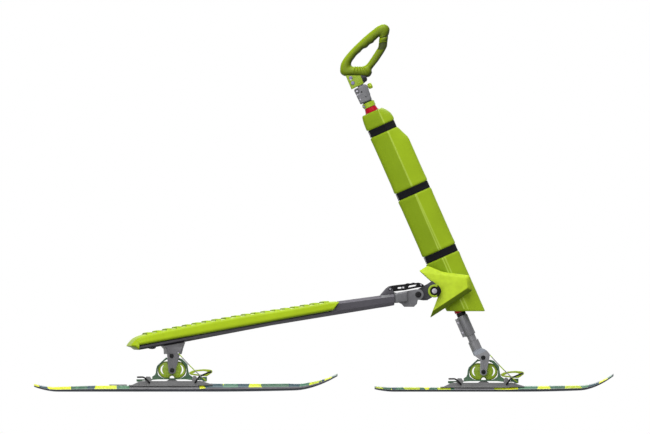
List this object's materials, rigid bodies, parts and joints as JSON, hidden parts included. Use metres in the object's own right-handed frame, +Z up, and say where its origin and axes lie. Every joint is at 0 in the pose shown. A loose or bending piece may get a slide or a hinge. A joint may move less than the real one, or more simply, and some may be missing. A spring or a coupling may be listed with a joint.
{
  "type": "ski trike",
  "caption": "Stand-on snow trike with a raked steering column, padded column cover, leaning and folding rear arms with foot decks, and sprung shaped skis",
  "frame": {"origin": "bottom centre of the bounding box, under the ski bases", "axes": "+X forward along the front ski, +Y to the rider's left, +Z up"},
  "size_m": [1.6806, 0.6136, 1.0658],
  "materials": {
    "ski_top": "glossy patchwork top sheet over a laminated core",
    "binding_grey": "matte moulded nylon",
    "truck_green": "satin dark green coating on cast alloy",
    "elastomer_yellow": "translucent polyurethane rubber",
    "bolt_black": "black oxide steel",
    "wire_dark": "dark spring steel wire",
    "lever_green": "satin moulded plastic",
    "yoke_dark": "dark grey satin coating",
    "cast_grey": "grey coated casting",
    "bolt_silver": "zinc plated steel",
    "rail_grey": "dark anodised extrusion",
    "deck_foam": "dense matte foam with raised tread",
    "latch_black": "black glass-filled nylon",
    "tube_grey": "grey anodised tube",
    "ring_green": "yellow-green moulded ring",
    "pad_green": "coated fabric over foam",
    "strap_black": "black webbing",
    "star_green": "satin moulded cover",
    "bushing_red": "red anodised look plastic",
    "bracket_green": "yellow-green coating",
    "grip_green": "soft moulded grip"
  },
  "bodies": {
    "frame": {"column_tube": "tube_grey", "yoke": "yoke_dark", "right_hub_ring": "ring_green", "left_hub_ring": "ring_green", "hub_bolt": "bolt_silver", "column_pad": "pad_green", "low_strap": "strap_black", "middle_strap": "strap_black", "top_strap": "strap_black", "right_star_cover": "star_green", "left_star_cover": "star_green", "top_bushing": "bushing_red"},
    "steerer": {"steerer_tube": "tube_grey", "steerer_collar": "ring_green", "clamp_head": "cast_grey", "fork_clamp": "cast_grey", "front_fork": "cast_grey", "front_pivot_bolt": "bolt_black"},
    "handle": {"stem_tube": "tube_grey", "handle_bracket": "bracket_green", "bracket_bolt": "bolt_black", "handle_grip": "grip_green"},
    "height_pin": {"height_pin": "lever_green"},
    "right_yoke": {"right_yoke_arm": "yoke_dark", "right_knuckle_bolt": "bolt_black"},
    "right_arm": {"right_arm_knuckle": "cast_grey", "right_arm_rail": "rail_grey", "right_deck_pad": "deck_foam", "right_rear_fork": "cast_grey", "right_pivot_bolt": "bolt_black"},
    "right_latch": {"right_latch_lever": "latch_black"},
    "left_yoke": {"left_yoke_arm": "yoke_dark", "left_knuckle_bolt": "bolt_black"},
    "left_arm": {"left_arm_knuckle": "cast_grey", "left_arm_rail": "rail_grey", "left_deck_pad": "deck_foam", "left_rear_fork": "cast_grey", "left_pivot_bolt": "bolt_black"},
    "left_latch": {"left_latch_lever": "latch_black"},
    "front_ski_unit": {"front_ski": "ski_top", "front_binding_plate": "binding_grey", "front_truck": "truck_green", "front_elastomer": "elastomer_yellow"},
    "front_toe_bail": {"front_toe_bail": "wire_dark"},
    "front_toe_lever": {"front_toe_lever": "lever_green"},
    "front_heel_bail": {"front_heel_bail": "wire_dark"},
    "right_ski_unit": {"right_ski": "ski_top", "right_binding_plate": "binding_grey", "right_truck": "truck_green", "right_elastomer": "elastomer_yellow"},
    "right_toe_bail": {"right_toe_bail": "wire_dark"},
    "right_toe_lever": {"right_toe_lever": "lever_green"},
    "right_heel_bail": {"right_heel_bail": "wire_dark"},
    "left_ski_unit": {"left_ski": "ski_top", "left_binding_plate": "binding_grey", "left_truck": "truck_green", "left_elastomer": "elastomer_yellow"},
    "left_toe_bail": {"left_toe_bail": "wire_dark"},
    "left_toe_lever": {"left_toe_lever": "lever_green"},
    "left_heel_bail": {"left_heel_bail": "wire_dark"}
  },
  "joints": [
    {"name": "steering", "type": "hinge", "parent": "frame", "child": "steerer", "pos_m": [0.3615, 0, 0.3098], "axis": [-0.4035, 0, 0.915], "range_deg": [-40, 40]},
    {"name": "handle_height", "type": "slide", "parent": "steerer", "child": "handle", "axis": [-0.4035, 0, 0.915], "range_m": [0, 0.12]},
    {"name": "height_pin_pull", "type": "slide", "parent": "steerer", "child": "height_pin", "axis": [0.915, 0, 0.4035], "range_m": [0, 0.008], "stiffness_N_per_m": 1000, "springref_m": -0.004},
    {"name": "right_lean", "type": "hinge", "parent": "frame", "child": "right_yoke", "pos_m": [0.32115, 0, 0.292], "axis": [0, 1, 0], "range_deg": [-10, 10]},
    {"name": "right_fold", "type": "hinge", "parent": "right_yoke", "child": "right_arm", "pos_m": [0.2742, -0.1046, 0.2816], "axis": [0, 1, 0], "range_deg": [0, 76]},
    {"name": "right_latch_open", "type": "hinge", "parent": "right_arm", "child": "right_latch", "pos_m": [0.1909, -0.12004, 0.2973], "axis": [0.1822, -0.9833, 0], "range_deg": [0, 100]},
    {"name": "left_lean", "type": "hinge", "parent": "frame", "child": "left_yoke", "pos_m": [0.32115, 0, 0.292], "axis": [0, 1, 0], "range_deg": [-10, 10]},
    {"name": "left_fold", "type": "hinge", "parent": "left_yoke", "child": "left_arm", "pos_m": [0.2742, 0.1046, 0.2816], "axis": [0, 1, 0], "range_deg": [0, 76]},
    {"name": "left_latch_open", "type": "hinge", "parent": "left_arm", "child": "left_latch", "pos_m": [0.1909, 0.12004, 0.2973], "axis": [-0.1822, -0.9833, 0], "range_deg": [0, 100]},
    {"name": "front_ski_pitch", "type": "hinge", "parent": "steerer", "child": "front_ski_unit", "pos_m": [0.4633, 0, 0.057], "axis": [0, 1, 0], "range_deg": [-10, 10], "stiffness_Nm_per_rad": 30},
    {"name": "front_toe_bail_turn", "type": "hinge", "parent": "front_ski_unit", "child": "front_toe_bail", "pos_m": [0.5303, 0, 0.021], "axis": [0, 1, 0], "range_deg": [0, 22.4]},
    {"name": "front_toe_lever_turn", "type": "hinge", "parent": "front_toe_bail", "child": "front_toe_lever", "pos_m": [0.5755, 0, 0.0532], "axis": [0, 1, 0], "range_deg": [0, 80]},
    {"name": "front_heel_bail_turn", "type": "hinge", "parent": "front_ski_unit", "child": "front_heel_bail", "pos_m": [0.398, 0, 0.021], "axis": [0, 1, 0], "range_deg": [0, 25]},
    {"name": "right_ski_pitch", "type": "hinge", "parent": "right_arm", "child": "right_ski_unit", "pos_m": [-0.4401, -0.237, 0.062], "axis": [0, 1, 0], "range_deg": [-10, 10], "stiffness_Nm_per_rad": 30},
    {"name": "right_toe_bail_turn", "type": "hinge", "parent": "right_ski_unit", "child": "right_toe_bail", "pos_m": [-0.3731, -0.237, 0.026], "axis": [0, 1, 0], "range_deg": [0, 22.4]},
    {"name": "right_toe_lever_turn", "type": "hinge", "parent": "right_toe_bail", "child": "right_toe_lever", "pos_m": [-0.3279, -0.237, 0.0582], "axis": [0, 1, 0], "range_deg": [0, 80]},
    {"name": "right_heel_bail_turn", "type": "hinge", "parent": "right_ski_unit", "child": "right_heel_bail", "pos_m": [-0.5054, -0.237, 0.026], "axis": [0, 1, 0], "range_deg": [0, 25]},
    {"name": "left_ski_pitch", "type": "hinge", "parent": "left_arm", "child": "left_ski_unit", "pos_m": [-0.4401, 0.237, 0.062], "axis": [0, 1, 0], "range_deg": [-10, 10], "stiffness_Nm_per_rad": 30},
    {"name": "left_toe_bail_turn", "type": "hinge", "parent": "left_ski_unit", "child": "left_toe_bail", "pos_m": [-0.3731, 0.237, 0.026], "axis": [0, 1, 0], "range_deg": [0, 22.4]},
    {"name": "left_toe_lever_turn", "type": "hinge", "parent": "left_toe_bail", "child": "left_toe_lever", "pos_m": [-0.3279, 0.237, 0.0582], "axis": [0, 1, 0], "range_deg": [0, 80]},
    {"name": "left_heel_bail_turn", "type": "hinge", "parent": "left_ski_unit", "child": "left_heel_bail", "pos_m": [-0.5054, 0.237, 0.026], "axis": [0, 1, 0], "range_deg": [0, 25]}
  ],
  "couplings": [
    {"joint": "left_lean", "follows": "right_lean", "ratio": -1},
    {"joint": "front_toe_bail_turn", "follows": "front_toe_lever_turn", "ratio": 0.28},
    {"joint": "right_toe_bail_turn", "follows": "right_toe_lever_turn", "ratio": 0.28},
    {"joint": "left_toe_bail_turn", "follows": "left_toe_lever_turn", "ratio": 0.28}
  ]
}
